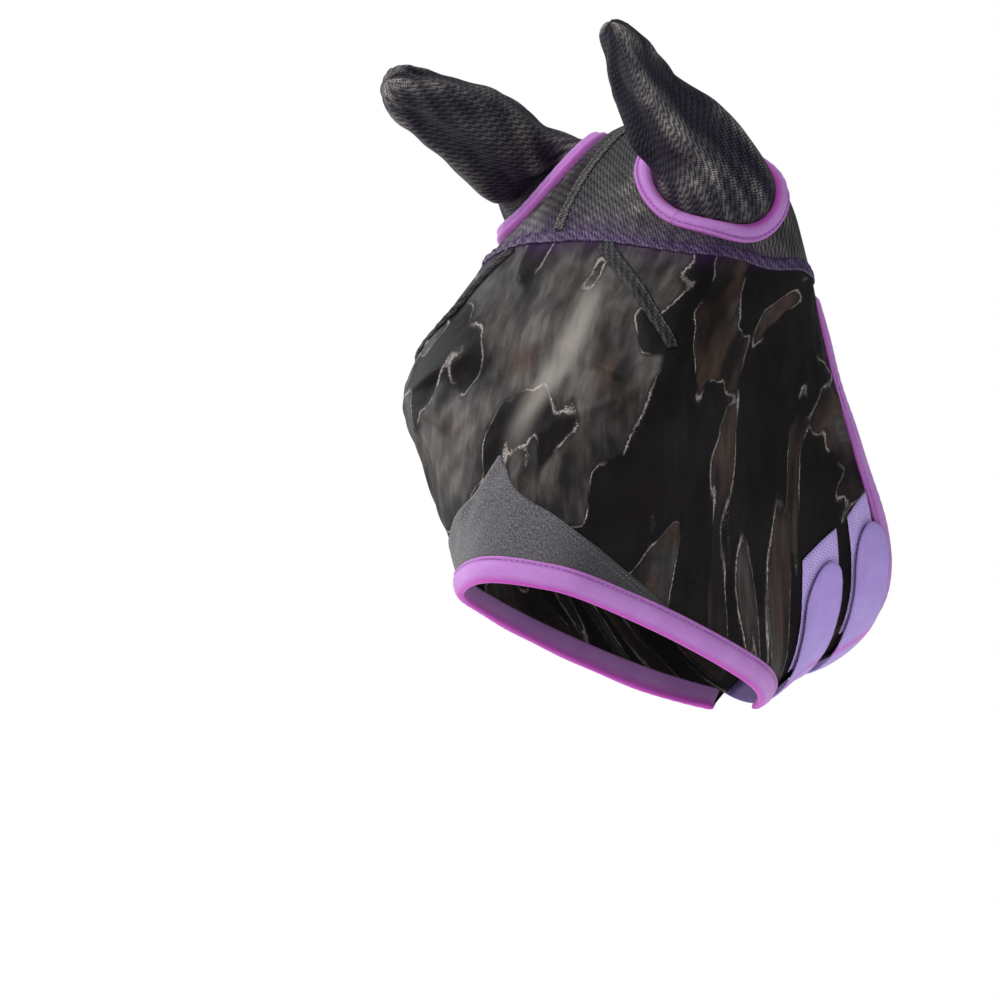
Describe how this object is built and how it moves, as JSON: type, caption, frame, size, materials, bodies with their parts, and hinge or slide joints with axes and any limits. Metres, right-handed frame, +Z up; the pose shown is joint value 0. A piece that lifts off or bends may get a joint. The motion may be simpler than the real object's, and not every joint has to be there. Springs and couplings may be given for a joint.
{
  "type": "horse fly mask",
  "caption": "Mesh fly mask for a horse, with ear covers, padded bindings round the nose, ears and rear edge, and throat straps that close on the near cheek.",
  "frame": {"origin": "poll seat: the point on the symmetry plane where the crown rests on top of the horse's head, between the ears", "axes": "+Z up, -Y the way the horse faces, +X the horse's left (near) side, where the straps close"},
  "size_m": [0.2516, 0.3491, 0.46],
  "materials": {
    "face_mesh": "glossy sheer polyester mesh",
    "crown_mesh": "satin dense mesh with a diagonal weave",
    "seam_tape": "matt woven tape",
    "black_hem": "matt woven tape",
    "brow_tape": "satin tape under mesh",
    "nose_patch": "matt heather knit",
    "purple_binding": "soft brushed binding",
    "padding": "soft padding",
    "webbing": "brushed nylon webbing",
    "hook_tape": "hook tape",
    "loop_tape": "brushed loop tape"
  },
  "bodies": {
    "mask": {"face_mesh": "face_mesh", "crown_near": "crown_mesh", "crown_off": "crown_mesh", "crown_seam_tape": "seam_tape", "crown_rear_hem": "black_hem", "brow_tape": "brow_tape", "dart_tape_near": "seam_tape", "dart_tape_off": "seam_tape", "nose_patch": "nose_patch", "nose_binding": "purple_binding", "nose_padding": "padding", "rear_binding_near": "purple_binding", "rear_binding_off": "purple_binding", "rear_padding_near": "padding", "rear_padding_off": "padding", "jaw_hem_near": "black_hem", "jaw_hem_off": "black_hem", "ear_ring_near": "purple_binding", "ear_ring_off": "purple_binding", "ear_ring_padding_near": "padding", "ear_ring_padding_off": "padding", "strap_front_sewn_end": "webbing", "strap_front_loop_patch": "loop_tape", "strap_rear_sewn_end": "webbing", "strap_rear_loop_patch": "loop_tape"},
    "ear_near": {"ear_near_front": "crown_mesh", "ear_near_back": "crown_mesh", "ear_near_seam_tape": "seam_tape"},
    "ear_off": {"ear_off_front": "crown_mesh", "ear_off_back": "crown_mesh", "ear_off_seam_tape": "seam_tape"},
    "strap_front": {"strap_front_webbing": "webbing"},
    "tab_front": {"strap_front_tab": "webbing", "strap_front_hook_pad": "hook_tape"},
    "strap_rear": {"strap_rear_webbing": "webbing"},
    "tab_rear": {"strap_rear_tab": "webbing", "strap_rear_hook_pad": "hook_tape"}
  },
  "joints": [
    {"name": "ear_near_tilt", "type": "hinge", "parent": "mask", "child": "ear_near", "pos_m": [0.0763, -0.0347, -0.0323], "axis": [-1, 0, 0], "range_deg": [-8, 32]},
    {"name": "ear_off_tilt", "type": "hinge", "parent": "mask", "child": "ear_off", "pos_m": [-0.0763, -0.0347, -0.0323], "axis": [-1, 0, 0], "range_deg": [-4, 42]},
    {"name": "strap_front_swing", "type": "hinge", "parent": "mask", "child": "strap_front", "pos_m": [-0.0336, 0.0978, -0.3679], "axis": [-0.1132, 0.8358, 0.5373], "range_deg": [0, 85]},
    {"name": "tab_front_peel", "type": "hinge", "parent": "strap_front", "child": "tab_front", "pos_m": [0.037, 0.0969, -0.3655], "axis": [0.1231, 0.8284, 0.5464], "range_deg": [0, 110]},
    {"name": "strap_rear_swing", "type": "hinge", "parent": "mask", "child": "strap_rear", "pos_m": [-0.0392, 0.1413, -0.3434], "axis": [-0.077, 0.8681, 0.4904], "range_deg": [0, 85]},
    {"name": "tab_rear_peel", "type": "hinge", "parent": "strap_rear", "child": "tab_rear", "pos_m": [0.043, 0.1402, -0.3405], "axis": [0.0818, 0.8658, 0.4936], "range_deg": [0, 90]}
  ]
}
